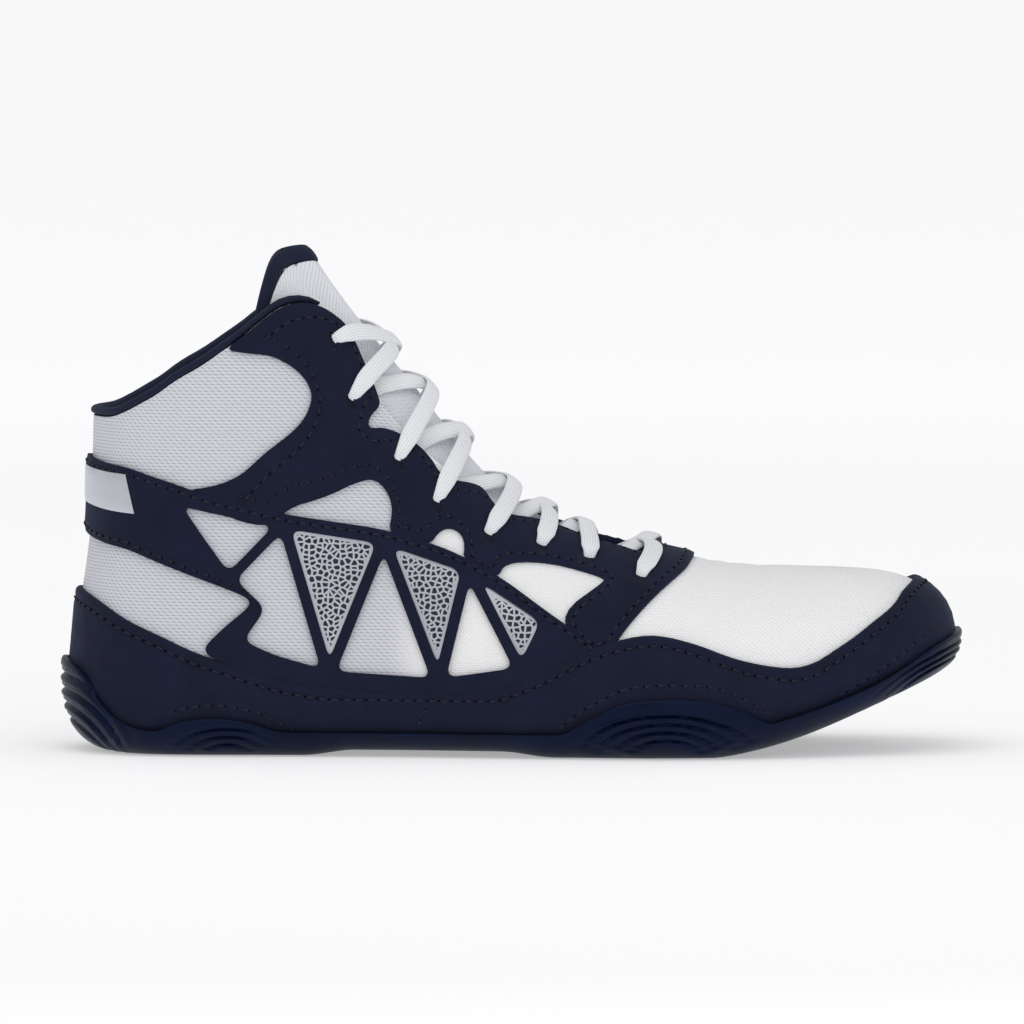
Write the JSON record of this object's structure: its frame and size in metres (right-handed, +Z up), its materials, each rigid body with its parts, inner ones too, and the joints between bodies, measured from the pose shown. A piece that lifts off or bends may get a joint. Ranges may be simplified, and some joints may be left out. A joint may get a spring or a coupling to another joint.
{
  "type": "wrestling shoe",
  "caption": "High wrestling shoe for the right foot, with a mesh upper, suede bands, a padded tongue, crossed flat laces and a thin rubber sole with round humps.",
  "frame": {"origin": "on the floor under the middle of the shoe's box", "axes": "+X towards the toe, +Y towards the inner (big toe) side, +Z up"},
  "size_m": [0.2885, 0.1029, 0.1612],
  "materials": {
    "rubber": "matt navy outsole rubber",
    "mesh": "white air mesh",
    "sockliner": "dark foam with a cloth face",
    "suede": "navy microfibre suede",
    "tongue_mesh": "pale grey mesh over foam",
    "knit": "navy ribbed knit",
    "lace": "white flat woven lace"
  },
  "bodies": {
    "root": {"outsole": "rubber", "upper": "mesh", "insole": "sockliner", "mudguard": "suede", "saddle_band": "suede", "eyestay_lateral": "suede", "eyestay_medial": "suede", "tongue": "tongue_mesh", "tongue_binding": "knit", "collar_binding": "knit", "lace_crossing_1": "lace", "lace_crossing_2": "lace", "lace_crossing_3": "lace", "lace_crossing_4": "lace", "lace_crossing_5": "lace", "lace_crossing_6": "lace", "lace_crossing_7": "lace"}
  },
  "joints": []
}
